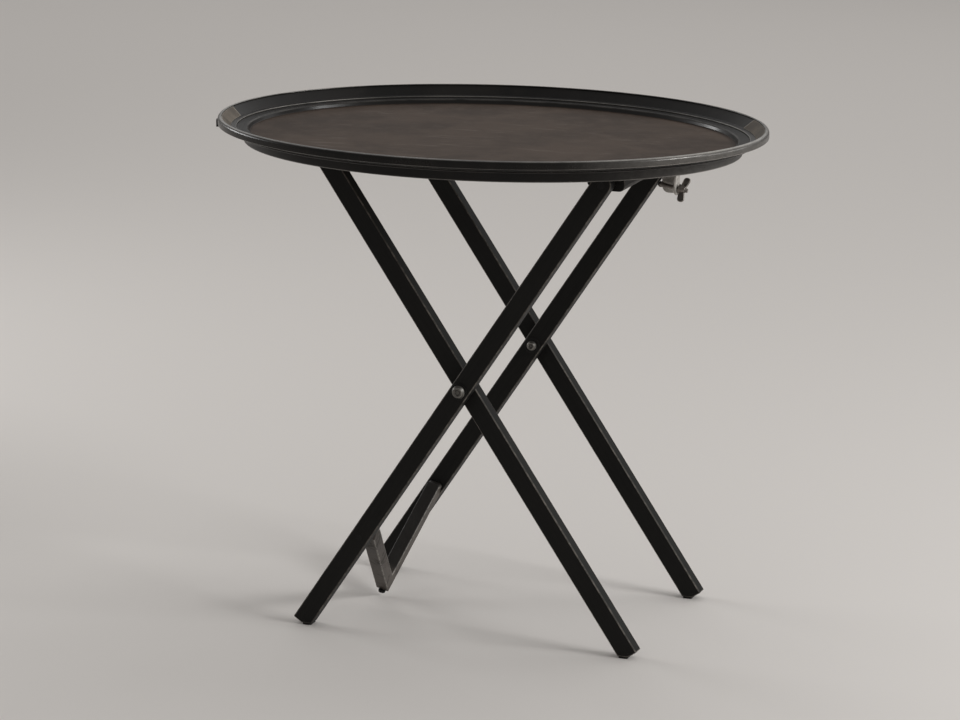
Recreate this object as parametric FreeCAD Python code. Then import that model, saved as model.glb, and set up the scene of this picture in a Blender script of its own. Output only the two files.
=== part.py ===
import FreeCAD, Part
import math
import os

from FreeCAD import Rotation, Vector

# Oval tray table on two pairs of crossed folding legs.
# Lengths are in millimetres, angles in degrees.
# The origin is on the floor under the middle of the tray.
# X runs along the tray, Y to the rear, Z up.

# Overall sizes
tray_length = 719.0
tray_width = 552.0
rim_height = 650.0
pivot_height = 331.5
pivot_shift = 16.0
leg_lean_angle = 33.9
frame_width = 264.0

# Clearances
fit_gap = 0.2
run_gap = 0.05
seat_gap = 0.3
overrun = 20.0

# Pan: floor plate let into a pressed ring with a step wall and a ledge
pan_sheet = 2.0
floor_seat_width = 3.0
floor_seat_sheet = 1.0
floor_depth = 21.0
ledge_depth = 15.0
ledge_inset = 16.0
step_inset = 36.0
floor_inset = 43.0
pan_heel = 3.0

# Foot ring under the ledge
foot_ring_inset = 33.0
foot_ring_wall = 3.0
foot_ring_depth = 31.5
foot_ring_round = 1.2

# Flared gallery that stands on the ledge
band_sheet = 1.6
band_foot_width = 8.0

# Hoop round the top of the gallery
hoop_height = 10.0
hoop_wall = 2.4
hoop_lip_width = 5.5
hoop_lip_sheet = 1.2
hoop_round = 0.9

# Plates that line the gallery at the two ends of the tray, each set to one side
end_plate_length = 116.0
end_plate_shift = 73.0
end_plate_sheet = 1.4

# Tab that hangs under the hoop, some way round from the left end
tab_turn_angle = 16.5
tab_width = 10.0
tab_sheet = 2.0
tab_rise = 3.0
tab_drop = 6.5
tab_toe = 2.2

# Legs: flat bars with a round top and a square-cut foot
leg_width = 25.0
leg_thickness = 18.0
leg_edge_round = 1.2
leg_gap = 1.0
leg_head_room = 7.0
foot_flat_length = 14.0
glide_height = 2.5
glide_inset = 0.8
glide_corner = 2.0

# Rods through the leg tops
rod_radius = 5.0
rod_head_radius = 8.0
rod_head_height = 3.0

# Pivot bolts
bolt_radius = 4.0
bolt_head_radius = 9.3
bolt_head_rim = 2.2
bolt_head_height = 5.5
bolt_dish_radius = 4.6
bolt_dish_depth = 1.2
bolt_tail = 2.0
head_washer_radius = 11.0
head_washer_sheet = 1.0
mid_washer_radius = 11.0
mid_washer_sheet = 0.8
nut_flats = 13.0
nut_height = 6.5

# Battens under the tray, one on each rod
batten_width = 48.0
batten_below_rod = 10.5
batten_corner = 7.0
batten_end_gap = 1.0
catch_flank_angle = 48.0
screw_offset = 12.0
screw_row_length = 180.0
screw_count = 3
screw_radius = 2.2
screw_head_radius = 4.2
screw_head_height = 2.2

# Drop prop between the two legs of the cross frame
prop_pin_height = 126.0
prop_lean_angle = 15.0
prop_apex_height = 17.0
prop_bar_width = 18.0
prop_bar_depth = 18.0
prop_end_gap = 1.0
prop_edge_round = 1.0
prop_pin_radius = 4.0
prop_pin_reach = 8.0
prop_collar_radius = 7.0
prop_shoe_radius = 5.0
prop_shoe_height = 3.6
prop_floor_gap = 0.6

# Wing screw clamp on the tray, at the rear inner leg
clamp_drop = 66.0
clamp_tilt_angle = 10.0
clamp_tip_radius = 4.0
clamp_shank_radius = 3.0
clamp_shank_length = 36.5
bracket_sheet = 2.5
bracket_reach = 22.0
bracket_length = 24.0
bracket_leaf_width = 18.0
bracket_toe_radius = 9.0
bracket_tongue_rise = 20.0
bracket_web_gap = 2.0
bracket_boss_radius = 6.0
bracket_boss_length = 4.0
rivet_radius = 2.0
rivet_head_radius = 3.6
rivet_head_height = 1.8
rivet_row_length = 12.0
wing_hub_radius = 6.5
wing_hub_tip_radius = 4.6
wing_hub_length = 9.0
wing_hub_start = 24.5
wing_lobe_radius = 5.2
wing_lobe_reach = 12.0
wing_lobe_rake = 3.5
wing_sheet = 2.8
wing_turn_angle = 35.0

# Places worked out from the sizes above
lean = math.radians(leg_lean_angle)
lean_sin = math.sin(lean)
lean_cos = math.cos(lean)
lean_tan = math.tan(lean)
floor_top = rim_height - floor_depth
pan_bottom = floor_top - pan_sheet
ledge_top = rim_height - ledge_depth
gallery_top = rim_height - hoop_lip_sheet
gallery_top_inset = hoop_wall + fit_gap
rod_height = pan_bottom - leg_head_room - leg_width / 2
rod_spread = (rod_height - pivot_height) * lean_tan
hinge_rod_x = pivot_shift - rod_spread
catch_rod_x = pivot_shift + rod_spread
front_inner_face = -frame_width / 2
front_outer_face = front_inner_face - leg_gap - leg_thickness
rear_outer_face = frame_width / 2
rear_inner_face = rear_outer_face - leg_gap - leg_thickness
prop_pin_x = pivot_shift - (pivot_height - prop_pin_height) * lean_tan
prop_front_end = front_inner_face + leg_thickness + prop_end_gap
prop_rear_end = rear_inner_face - prop_end_gap
prop_flat = prop_floor_gap + prop_shoe_height
clamp_y = rear_inner_face + leg_thickness / 2
clamp_height = pan_bottom - clamp_drop


def export(shape, node):
    shape.exportStep("parts/" + node + ".step")


def block(x0, x1, y0, y1, z0, z1):
    """Box between two corners."""
    return Part.makeBox(x1 - x0, y1 - y0, z1 - z0, Vector(x0, y0, z0))


def cylinder_y(radius, x, z, y0, y1):
    """Round bar along Y from y0 to y1."""
    return Part.makeCylinder(radius, y1 - y0, Vector(x, y0, z), Vector(0, 1, 0))


def prism_y(points, y0, y1):
    """Straight-sided outline in X and Z carried from y0 to y1."""
    corners = [Vector(x, y0, z) for x, z in points]
    wire = Part.makePolygon(corners + corners[:1])
    return Part.Face(wire).extrude(Vector(0, y1 - y0, 0))


def edges_along(shape, direction):
    """Straight edges of a shape that run along a direction."""
    chosen = []
    for edge in shape.Edges:
        if isinstance(edge.Curve, Part.Line) and abs(abs(edge.Curve.Direction.dot(direction)) - 1) < 1e-6:
            chosen.append(edge)
    return chosen


def oval_wire(inset, height):
    """Outline of the tray drawn in by an inset."""
    oval = Part.Ellipse(Vector(0, 0, height), tray_length / 2 - inset, tray_width / 2 - inset)
    return Part.Wire([oval.toShape()])


def oval_plate(inset, bottom, top):
    return Part.Face(oval_wire(inset, bottom)).extrude(Vector(0, 0, top - bottom))


def oval_ring(outer_inset, inner_inset, bottom, top):
    return oval_plate(outer_inset, bottom, top).cut(oval_plate(inner_inset, bottom, top))


def oval_bowl(rings):
    """Solid whose outline follows (inset, height) pairs from the bottom up."""
    return Part.makeLoft([oval_wire(inset, height) for inset, height in rings], True, True)


def flare_inset(height):
    """Inset of the gallery's outer face at a height."""
    climb_share = (height - ledge_top) / (gallery_top - ledge_top)
    return ledge_inset + climb_share * (gallery_top_inset - ledge_inset)


def flared_ring(gap, sheet, bottom, top):
    """Part of a flared wall that lies a gap inside the gallery's outer face."""
    outer = oval_bowl([(flare_inset(z) + gap, z) for z in (bottom, top)])
    inner = oval_bowl([(flare_inset(z) + gap + sheet, z) for z in (bottom, top)])
    return outer.cut(inner)


floor_edge_inset = floor_inset + pan_heel + pan_sheet
floor_seat_top = pan_bottom + floor_seat_sheet


def tray_pan():
    """Pressed ring with a heel, a step wall, a flat ledge and a seat for the floor plate."""
    outer = oval_bowl([
        (floor_inset + pan_heel, pan_bottom),
        (floor_inset, pan_bottom + pan_heel),
        (step_inset, ledge_top),
    ])
    inner = oval_bowl([
        (floor_edge_inset, floor_top),
        (floor_inset + pan_sheet, floor_top + pan_heel),
        (step_inset + pan_sheet, ledge_top),
    ])
    ledge = oval_ring(ledge_inset, step_inset + pan_sheet, ledge_top - pan_sheet, ledge_top)
    pan = outer.fuse(ledge).cut(inner).removeSplitter()
    pan = pan.cut(oval_plate(floor_edge_inset, floor_seat_top, floor_top))
    return pan.cut(oval_plate(floor_edge_inset + floor_seat_width, pan_bottom, floor_seat_top))


def floor_plate():
    """Flat oval floor with a rebated edge that lies on the pan's seat."""
    edge = oval_plate(floor_edge_inset + seat_gap, floor_seat_top, floor_top)
    return edge.fuse(
        oval_plate(floor_edge_inset + floor_seat_width + seat_gap, pan_bottom, floor_seat_top)
    ).removeSplitter()


def foot_ring():
    """Upright ring under the ledge with its lower edges rounded."""
    bottom = rim_height - foot_ring_depth
    ring = oval_ring(foot_ring_inset, foot_ring_inset + foot_ring_wall, bottom, ledge_top - pan_sheet)
    lower = [edge for edge in ring.Edges if edge.CenterOfMass.z < bottom + foot_ring_round]
    return ring.makeFillet(foot_ring_round, [edge for edge in lower if edge.BoundBox.ZLength < foot_ring_round])


def gallery_band():
    """Flared wall with a foot that lies on the ledge."""
    wall = flared_ring(0, band_sheet, ledge_top, gallery_top)
    foot = oval_ring(ledge_inset + band_sheet / 2, ledge_inset + band_foot_width, ledge_top, ledge_top + band_sheet)
    return wall.fuse(foot).removeSplitter()


def rim_hoop():
    """Upright hoop with a lip turned in over the gallery's top edge."""
    outer = oval_plate(0, rim_height - hoop_height, rim_height)
    top_edges = [edge for edge in outer.Edges if edge.CenterOfMass.z > rim_height - hoop_height / 2]
    outer = outer.makeFillet(hoop_round, [edge for edge in top_edges if edge.BoundBox.ZLength < hoop_round])
    outer = outer.cut(oval_plate(hoop_wall, rim_height - hoop_height - overrun, gallery_top))
    return outer.cut(oval_plate(hoop_lip_width, rim_height - hoop_height, rim_height + overrun))


def end_plate(side):
    """Plate that lines the gallery at one end of the tray."""
    bottom = ledge_top + band_sheet + fit_gap
    top = gallery_top - fit_gap
    ring = flared_ring(band_sheet + fit_gap, end_plate_sheet, bottom, top)
    reach = tray_length / 2 + overrun
    y0 = side * end_plate_shift - end_plate_length / 2
    y1 = side * end_plate_shift + end_plate_length / 2
    return ring.common(block(min(0, side * reach), max(0, side * reach), y0, y1, bottom, top))


def hanging_tab():
    """Small strip outside the hoop with a toe turned in under it, square to the hoop where it hangs."""
    hoop_bottom = rim_height - hoop_height
    strip = [
        (-fit_gap, hoop_bottom + tab_rise),
        (-fit_gap - tab_sheet, hoop_bottom + tab_rise),
        (-fit_gap - tab_sheet, hoop_bottom - tab_drop),
        (tab_toe - fit_gap, hoop_bottom - tab_drop),
        (tab_toe - fit_gap, hoop_bottom - tab_drop + tab_sheet),
        (-fit_gap, hoop_bottom - tab_drop + tab_sheet),
    ]
    tab = prism_y(strip, -tab_width / 2, tab_width / 2)
    turn = math.radians(tab_turn_angle)
    half_length = tray_length / 2
    half_width = tray_width / 2
    facing = math.atan2(half_length * math.sin(turn), half_width * math.cos(turn))
    tab.rotate(Vector(0, 0, 0), Vector(0, 0, 1), math.degrees(facing))
    tab.translate(Vector(-half_length * math.cos(turn), -half_width * math.sin(turn), 0))
    return tab


def to_leg_place(shape, side):
    """Turn a leg drawn upright about the origin to its lean and set it on the pivot."""
    shape = shape.copy()
    shape.rotate(Vector(0, 0, 0), Vector(0, 1, 0), side * leg_lean_angle)
    shape.translate(Vector(pivot_shift, 0, pivot_height))
    return shape


foot_trim = foot_flat_length * lean_sin * lean_cos
leg_lower_reach = (pivot_height - glide_height + foot_trim - leg_width / 2 * lean_sin) / lean_cos
leg_upper_reach = (rod_height - pivot_height) / lean_cos
pin_reach = (pivot_height - prop_pin_height) / lean_cos


def leg(side, face, holes):
    """Flat bar from the foot to the rod; side says which way its top leans."""
    half = leg_width / 2
    back = face + leg_thickness
    bar = block(-half, half, face, back, -leg_lower_reach, leg_upper_reach)
    bar = bar.fuse(cylinder_y(half, 0, leg_upper_reach, face, back)).removeSplitter()
    rims = [edge for edge in bar.Edges if edge.BoundBox.YLength < leg_edge_round]
    bar = bar.makeFillet(leg_edge_round, rims)
    for radius, height in holes:
        bar = bar.cut(cylinder_y(radius + run_gap, 0, height, face - overrun, back + overrun))
    bar = to_leg_place(bar, side)
    floor = bar.BoundBox
    waste = block(
        floor.XMin - overrun, floor.XMax + overrun,
        face - overrun, back + overrun,
        floor.ZMin - overrun, glide_height,
    )
    return bar.cut(waste)


def foot_glide(side, face):
    """Pad under the flat of a foot."""
    corner_x = pivot_shift + side * (leg_width / 2 * lean_cos - leg_lower_reach * lean_sin)
    middle = corner_x + side * foot_trim * (lean_tan - 1 / lean_tan) / 2
    half = foot_flat_length / 2 - glide_inset
    pad = block(
        middle - half, middle + half,
        face + glide_inset, face + leg_thickness - glide_inset,
        0, glide_height,
    )
    return pad.makeFillet(glide_corner, edges_along(pad, Vector(0, 0, 1)))


def rod(x, y0, y1):
    return cylinder_y(rod_radius, x, rod_height, y0, y1)


def hinge_rod():
    """Rod through the fixed frame's tops, with a domed head at the rear."""
    y0 = front_inner_face
    y1 = rear_outer_face + leg_thickness
    dome_radius = (rod_head_radius ** 2 + rod_head_height ** 2) / (2 * rod_head_height)
    centre = Vector(hinge_rod_x, y1 + rod_head_height - dome_radius, rod_height)
    ball = Part.makeSphere(dome_radius, centre)
    cap = ball.common(cylinder_y(rod_head_radius, hinge_rod_x, rod_height, y1, y1 + rod_head_height + overrun))
    return rod(hinge_rod_x, y0, y1).fuse(cap).removeSplitter()


def catch_rod():
    return rod(catch_rod_x, front_outer_face, rear_inner_face + leg_thickness)


def turned_y(points, x, z):
    """Solid turned about an axis along Y from (radius, y) corners."""
    corners = [Vector(x + radius, y, z) for radius, y in points]
    face = Part.Face(Part.makePolygon(corners + corners[:1]))
    return face.revolve(Vector(x, 0, z), Vector(0, 1, 0), 360)


def pivot_bolt(face):
    """Round-headed bolt with a dished top, through two legs and a nut."""
    seat = face - head_washer_sheet
    end = face + 2 * leg_thickness + leg_gap + nut_height + bolt_tail
    crown = seat - bolt_head_height
    return turned_y([
        (0, end),
        (bolt_radius, end),
        (bolt_radius, seat),
        (bolt_head_radius, seat),
        (bolt_head_radius, seat - bolt_head_rim),
        ((bolt_head_radius + bolt_dish_radius) / 2, crown),
        (bolt_dish_radius, crown),
        (bolt_dish_radius - bolt_dish_depth, crown + bolt_dish_depth),
        (0, crown + bolt_dish_depth),
    ], pivot_shift, pivot_height)


def washer(radius, y0, y1):
    disc = cylinder_y(radius, pivot_shift, pivot_height, y0, y1)
    return disc.cut(cylinder_y(bolt_radius + run_gap, pivot_shift, pivot_height, y0, y1))


def pivot_nut(face):
    """Hexagon nut on the far side of the two legs."""
    seat = face + 2 * leg_thickness + leg_gap
    corner = nut_flats / math.sqrt(3)
    turns = [math.radians(60 * step) for step in range(6)]
    hexagon = [
        (pivot_shift + corner * math.cos(turn), pivot_height + corner * math.sin(turn)) for turn in turns
    ]
    nut = prism_y(hexagon, seat, seat + nut_height)
    return nut.cut(cylinder_y(bolt_radius + run_gap, pivot_shift, pivot_height, seat, seat + nut_height))


def batten_blank(x, y0, y1):
    """Batten with rounded lower corners, from the pan down past its rod."""
    half = batten_width / 2
    bar = block(x - half, x + half, y0, y1, rod_height - batten_below_rod, pan_bottom)
    lower = [edge for edge in edges_along(bar, Vector(0, 1, 0)) if edge.CenterOfMass.z < rod_height]
    return bar.makeFillet(batten_corner, lower)


def screw_places(y0, y1):
    middle = (y0 + y1) / 2
    shares = [step / (screw_count - 1) - 1 / 2 for step in range(screw_count)]
    return [middle + screw_row_length * share for share in shares]


def upright(radius, x, y, z0, z1):
    return Part.makeCylinder(radius, z1 - z0, Vector(x, y, z0))


def batten_screw(x, y):
    """Round-headed screw that enters a batten from below."""
    bottom = rod_height - batten_below_rod
    head = upright(screw_head_radius, x, y, bottom - screw_head_height, bottom)
    rims = [edge for edge in head.Edges if edge.CenterOfMass.z < bottom - screw_head_height / 2]
    head = head.makeFillet(screw_head_height / 2, [edge for edge in rims if len(edge.Vertexes) == 1])
    return head.fuse(upright(screw_radius, x, y, bottom, pan_bottom)).removeSplitter()


def drilled(bar, places):
    bottom = rod_height - batten_below_rod
    for x, y in places:
        bar = bar.cut(upright(screw_radius + run_gap, x, y, bottom - overrun, pan_bottom + overrun))
    return bar


hinge_batten_ends = (
    front_inner_face + leg_thickness + batten_end_gap,
    rear_outer_face - batten_end_gap,
)
catch_batten_ends = (
    front_outer_face + leg_thickness + batten_end_gap,
    rear_inner_face - batten_end_gap,
)
hinge_screws = [
    (hinge_rod_x + side * screw_offset, y) for y in screw_places(*hinge_batten_ends) for side in (-1, 1)
]
catch_screws = [(catch_rod_x + screw_offset, y) for y in screw_places(*catch_batten_ends)]


def hinge_batten():
    """Batten bored for the hinge rod."""
    y0, y1 = hinge_batten_ends
    bar = batten_blank(hinge_rod_x, y0, y1)
    bar = bar.cut(cylinder_y(rod_radius + run_gap, hinge_rod_x, rod_height, y0 - overrun, y1 + overrun))
    return drilled(bar, hinge_screws)


def catch_batten():
    """Batten with a saddle that drops over the catch rod and opens inward."""
    y0, y1 = catch_batten_ends
    bar = batten_blank(catch_rod_x, y0, y1)
    seat = rod_radius + seat_gap
    flank = math.radians(catch_flank_angle)
    start_x = -seat * math.cos(flank)
    start_z = seat * math.sin(flank)
    bottom = -batten_below_rod - overrun
    end_x = start_x + (bottom - start_z) * math.tan(flank)
    mouth = [(0, start_z), (seat, 0), (seat, bottom), (end_x, bottom), (start_x, start_z)]
    mouth = [(catch_rod_x + u, rod_height + w) for u, w in mouth]
    bar = bar.cut(cylinder_y(seat, catch_rod_x, rod_height, y0 - overrun, y1 + overrun))
    bar = bar.cut(prism_y(mouth, y0 - overrun, y1 + overrun))
    return drilled(bar, catch_screws)


def lean_prop(shape):
    """Swing a piece of the prop about its pins from upright to its lean."""
    shape = shape.copy()
    shape.rotate(Vector(prop_pin_x, 0, prop_pin_height), Vector(0, 1, 0), prop_lean_angle)
    return shape


def prop_arm(end):
    """Square bar from the eye at one leg down to the apex, with a round top."""
    rise = prop_pin_height - prop_apex_height
    half = prop_bar_width * math.hypot(end, rise) / abs(end) / 2
    x0 = prop_pin_x - prop_bar_depth / 2
    corners = [
        Vector(x0, end, prop_pin_height + half),
        Vector(x0, 0, prop_apex_height + half),
        Vector(x0, 0, prop_apex_height - half),
        Vector(x0, end, prop_pin_height - half),
    ]
    bar = Part.Face(Part.makePolygon(corners + corners[:1])).extrude(Vector(prop_bar_depth, 0, 0))
    bar = bar.makeFillet(prop_edge_round, [edge for edge in bar.Edges if edge.Length > rise])
    y0 = min(0, end)
    y1 = max(0, end)
    strip = block(x0, x0 + prop_bar_depth, y0, y1, prop_flat, prop_pin_height)
    strip = strip.fuse(cylinder_y(prop_bar_depth / 2, prop_pin_x, prop_pin_height, y0, y1))
    bar = bar.common(strip.removeSplitter())
    inward = -1 if end > 0 else 1
    stop = end + inward * (prop_pin_reach + run_gap)
    eye = cylinder_y(prop_pin_radius + run_gap, prop_pin_x, prop_pin_height, min(end, stop), max(end, stop))
    return lean_prop(bar.cut(eye))


def prop_pin_front():
    """Shouldered pin: shank in the leg, collar across the gap, spigot in the arm."""
    inner = front_outer_face + leg_thickness
    shoulder = prop_front_end - seat_gap
    end = prop_front_end + prop_pin_reach
    return turned_y([
        (0, front_outer_face),
        (prop_pin_radius, front_outer_face),
        (prop_pin_radius, inner),
        (prop_collar_radius, inner),
        (prop_collar_radius, shoulder),
        (prop_pin_radius, shoulder),
        (prop_pin_radius, end),
        (0, end),
    ], prop_pin_x, prop_pin_height)


def prop_pin_rear():
    """Pin in the rear inner leg with a collar against the arm."""
    shoulder = prop_rear_end + seat_gap
    end = prop_rear_end - prop_pin_reach
    return turned_y([
        (0, rear_inner_face + leg_thickness),
        (prop_pin_radius, rear_inner_face + leg_thickness),
        (prop_pin_radius, rear_inner_face),
        (prop_collar_radius, rear_inner_face),
        (prop_collar_radius, shoulder),
        (prop_pin_radius, shoulder),
        (prop_pin_radius, end),
        (0, end),
    ], prop_pin_x, prop_pin_height)


def prop_shoe():
    """Small stud under the apex of the prop, clear of the floor as the prop swings."""
    stud = Part.makeCone(
        prop_shoe_radius - prop_floor_gap, prop_shoe_radius, prop_shoe_height,
        Vector(prop_pin_x, 0, prop_floor_gap),
    )
    return lean_prop(stud)


clamp_edge_x = pivot_shift + (clamp_height - pivot_height) * lean_tan + leg_width / 2 / lean_cos
clamp_ball_x = clamp_edge_x + (clamp_tip_radius + seat_gap) * lean_cos
clamp_ball_z = clamp_height - (clamp_tip_radius + seat_gap) * lean_sin


def to_clamp_place(shape):
    """Turn a piece drawn along X about the origin onto the screw's axis."""
    shape = shape.copy()
    shape.rotate(Vector(0, 0, 0), Vector(0, 1, 0), clamp_tilt_angle)
    shape.translate(Vector(clamp_ball_x, clamp_y, clamp_ball_z))
    return shape


def cylinder_x(radius, x0, x1):
    return Part.makeCylinder(radius, x1 - x0, Vector(x0, 0, 0), Vector(1, 0, 0))


def wing_screw():
    """Screw with a ball tip, turned about X."""
    neck_x = math.sqrt(clamp_tip_radius ** 2 - clamp_shank_radius ** 2)
    nose = Vector(-clamp_tip_radius, 0, 0)
    crown = Vector(0, 0, clamp_tip_radius)
    neck = Vector(neck_x, 0, clamp_shank_radius)
    ball = Part.Arc(nose, crown, neck).toShape()
    shank = Part.makePolygon([
        neck,
        Vector(clamp_shank_length, 0, clamp_shank_radius),
        Vector(clamp_shank_length, 0, 0),
        nose,
    ])
    profile = Part.Face(Part.Wire([ball] + shank.Edges))
    return to_clamp_place(profile.revolve(Vector(0, 0, 0), Vector(1, 0, 0), 360))


def wing_lobe(side):
    """Flat ear: a neck from the hub to a round end."""
    start = wing_hub_start
    middle = start + wing_hub_length / 2
    tip_x = middle + wing_lobe_rake
    neck = [
        (start, 0),
        (start + wing_hub_length, 0),
        (tip_x + wing_lobe_radius, side * wing_lobe_reach),
        (tip_x - wing_lobe_radius, side * wing_lobe_reach),
    ]
    ear = prism_y(neck, -wing_sheet / 2, wing_sheet / 2)
    ear = ear.fuse(cylinder_y(wing_lobe_radius, tip_x, side * wing_lobe_reach, -wing_sheet / 2, wing_sheet / 2))
    return ear


def wing_head():
    """Tapered hub with two ears, fixed on the end of the screw."""
    hub = Part.makeCone(
        wing_hub_radius, wing_hub_tip_radius, wing_hub_length,
        Vector(wing_hub_start, 0, 0), Vector(1, 0, 0),
    )
    head = hub.fuse([wing_lobe(1), wing_lobe(-1)]).removeSplitter()
    head = head.cut(cylinder_x(clamp_shank_radius + run_gap, 0, clamp_shank_length + overrun))
    head.rotate(Vector(0, 0, 0), Vector(1, 0, 0), -wing_turn_angle)
    return to_clamp_place(head)


bracket_x1 = clamp_ball_x + bracket_reach
bracket_x0 = bracket_x1 - bracket_length
bracket_web_y0 = clamp_y + leg_thickness / 2 + bracket_web_gap
bracket_web_y1 = bracket_web_y0 + bracket_sheet
bracket_leaf_y1 = bracket_web_y0 + bracket_leaf_width
bracket_axis_z = clamp_ball_z - bracket_reach * math.tan(math.radians(clamp_tilt_angle))
rivet_places = [
    ((bracket_x0 + bracket_x1 + side * rivet_row_length) / 2, (bracket_web_y1 + bracket_leaf_y1) / 2)
    for side in (-1, 1)
]


def clamp_bracket():
    """Bent strap: a leaf under the pan, a web that hangs beside the leg and a tongue for the screw."""
    bottom = bracket_axis_z - bracket_toe_radius
    leaf = block(bracket_x0, bracket_x1, bracket_web_y0, bracket_leaf_y1, pan_bottom - bracket_sheet, pan_bottom)
    web = block(bracket_x0, bracket_x1, bracket_web_y0, bracket_web_y1, bottom, pan_bottom)
    heel = [edge for edge in edges_along(web, Vector(0, 1, 0)) if edge.CenterOfMass.z < bracket_axis_z]
    heel = [edge for edge in heel if edge.CenterOfMass.x < clamp_ball_x]
    web = web.makeFillet(bracket_toe_radius, heel)
    tongue = block(
        bracket_x1 - bracket_sheet, bracket_x1,
        clamp_y - bracket_toe_radius, bracket_web_y1,
        bottom, bracket_axis_z + bracket_tongue_rise,
    )
    front = [edge for edge in edges_along(tongue, Vector(1, 0, 0)) if edge.CenterOfMass.y < clamp_y]
    tongue = tongue.makeFillet(bracket_toe_radius, front)
    boss = to_clamp_place(cylinder_x(
        bracket_boss_radius, bracket_reach - bracket_boss_length, bracket_reach,
    ))
    strap = leaf.fuse([web, tongue, boss]).removeSplitter()
    strap = strap.cut(to_clamp_place(cylinder_x(clamp_shank_radius + run_gap, 0, clamp_shank_length)))
    for x, y in rivet_places:
        strap = strap.cut(upright(rivet_radius + run_gap, x, y, pan_bottom - overrun, pan_bottom))
    return strap


def bracket_rivet(x, y):
    """Round-headed rivet up through the leaf to the pan."""
    seat = pan_bottom - bracket_sheet
    head = Part.makeCone(
        rivet_head_radius / 2, rivet_head_radius, rivet_head_height,
        Vector(x, y, seat - rivet_head_height),
    )
    return head.fuse(upright(rivet_radius, x, y, seat, pan_bottom)).removeSplitter()


def main():
    os.makedirs("parts", exist_ok=True)

    export(tray_pan(), "tray_pan")
    export(floor_plate(), "floor_plate")
    export(foot_ring(), "foot_ring")
    export(gallery_band(), "gallery_band")
    export(rim_hoop(), "rim_hoop")
    export(end_plate(-1), "end_plate_left")
    export(end_plate(1), "end_plate_right")
    export(hanging_tab(), "hanging_tab")
    export(hinge_batten(), "hinge_batten")
    export(catch_batten(), "catch_batten")
    export(Part.makeCompound([batten_screw(x, y) for x, y in hinge_screws]), "hinge_batten_screws")
    export(Part.makeCompound([batten_screw(x, y) for x, y in catch_screws]), "catch_batten_screws")
    export(clamp_bracket(), "clamp_bracket")
    export(Part.makeCompound([bracket_rivet(x, y) for x, y in rivet_places]), "bracket_rivets")
    export(wing_screw(), "wing_screw")
    export(wing_head(), "wing_head")

    fixed_holes = [(bolt_radius, 0), (rod_radius, leg_upper_reach)]
    cross_holes = fixed_holes + [(prop_pin_radius, -pin_reach)]
    legs = [
        ("front_inner", "front_right", -1, front_inner_face, fixed_holes),
        ("rear_outer", "rear_right", -1, rear_outer_face, fixed_holes),
        ("front_outer", "front_left", 1, front_outer_face, cross_holes),
        ("rear_inner", "rear_left", 1, rear_inner_face, cross_holes),
    ]
    for leg_name, foot_name, side, face, holes in legs:
        export(leg(side, face, holes), "leg_" + leg_name)
        export(foot_glide(side, face), "glide_" + foot_name)

    export(hinge_rod(), "hinge_rod")
    export(catch_rod(), "catch_rod")
    for place, face in (("front", front_outer_face), ("rear", rear_inner_face)):
        middle = face + leg_thickness + leg_gap / 2
        export(pivot_bolt(face), "pivot_bolt_" + place)
        export(washer(head_washer_radius, face - head_washer_sheet, face), "head_washer_" + place)
        export(
            washer(mid_washer_radius, middle - mid_washer_sheet / 2, middle + mid_washer_sheet / 2),
            "mid_washer_" + place,
        )
        export(pivot_nut(face), "pivot_nut_" + place)

    export(prop_arm(prop_front_end), "prop_arm_front")
    export(prop_arm(prop_rear_end), "prop_arm_rear")
    export(prop_pin_front(), "prop_pin_front")
    export(prop_pin_rear(), "prop_pin_rear")
    export(prop_shoe(), "prop_shoe")


main()
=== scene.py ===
import math

import bpy
import numpy as np
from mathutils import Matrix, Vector


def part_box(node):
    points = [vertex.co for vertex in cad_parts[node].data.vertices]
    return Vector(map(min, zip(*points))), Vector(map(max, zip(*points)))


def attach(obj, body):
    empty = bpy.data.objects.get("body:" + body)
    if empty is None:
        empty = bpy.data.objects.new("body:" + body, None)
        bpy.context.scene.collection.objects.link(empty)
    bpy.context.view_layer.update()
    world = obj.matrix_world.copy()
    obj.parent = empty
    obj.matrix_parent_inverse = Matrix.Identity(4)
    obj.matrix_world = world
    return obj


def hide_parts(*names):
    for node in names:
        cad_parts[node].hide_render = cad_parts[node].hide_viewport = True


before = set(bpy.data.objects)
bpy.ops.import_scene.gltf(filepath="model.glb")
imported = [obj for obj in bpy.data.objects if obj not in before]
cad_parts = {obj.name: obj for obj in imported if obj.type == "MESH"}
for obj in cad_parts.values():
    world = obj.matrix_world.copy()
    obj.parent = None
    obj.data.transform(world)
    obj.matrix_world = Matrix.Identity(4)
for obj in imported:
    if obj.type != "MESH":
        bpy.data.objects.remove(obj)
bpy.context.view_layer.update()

# Camera at the photograph's viewing angle
photo_width = 960
sensor_width = 36.0
focal_pixels = 3488.6
camera_azimuth = math.radians(21.14)
camera_elevation = math.radians(13.89)
camera_distance = 4.501
camera_aim = np.array([-0.0102, -0.0101, 0.3377])

# Fineness of the surfaces
oval_segments = 480
round_segments = 64
arc_steps = 6
crown_steps = 14
ear_steps = 12
dome_steps = 14
tail_steps = 17
shank_steps = 150
strap_steps = 80
prop_steps = 8
prop_stations = [(0, 0.86, 40), (0.86, 0.96, 30), (0.96, 1, 8)]
pan_rings = 28
nut_segments = 144
nut_rings = 8
flat_guard = 0.0001
fine_edge = 0.0001

# Tray sections that a node's box can't give
pan_sheet = 0.002
step_inset = 0.0386
floor_inset = 0.0412
step_round = 0.0026
floor_round = 0.0018
heel_round = 0.0018
sheet_edge = 0.0007
foot_ring_wall = 0.003
foot_ring_edge = 0.0013
band_sheet = 0.0016
band_foot_width = 0.008
band_edge = 0.0005
band_bend = 0.0012
hoop_wall = 0.0024
hoop_lip_width = 0.0055
hoop_crown = 0.0042
hoop_rubbed = 0.0010
end_plate_sheet = 0.0014
end_plate_gap = 0.0002
tab_sheet = 0.002
tab_width = 0.010
tab_toe = 0.0022
tab_gap = 0.0002

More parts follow.
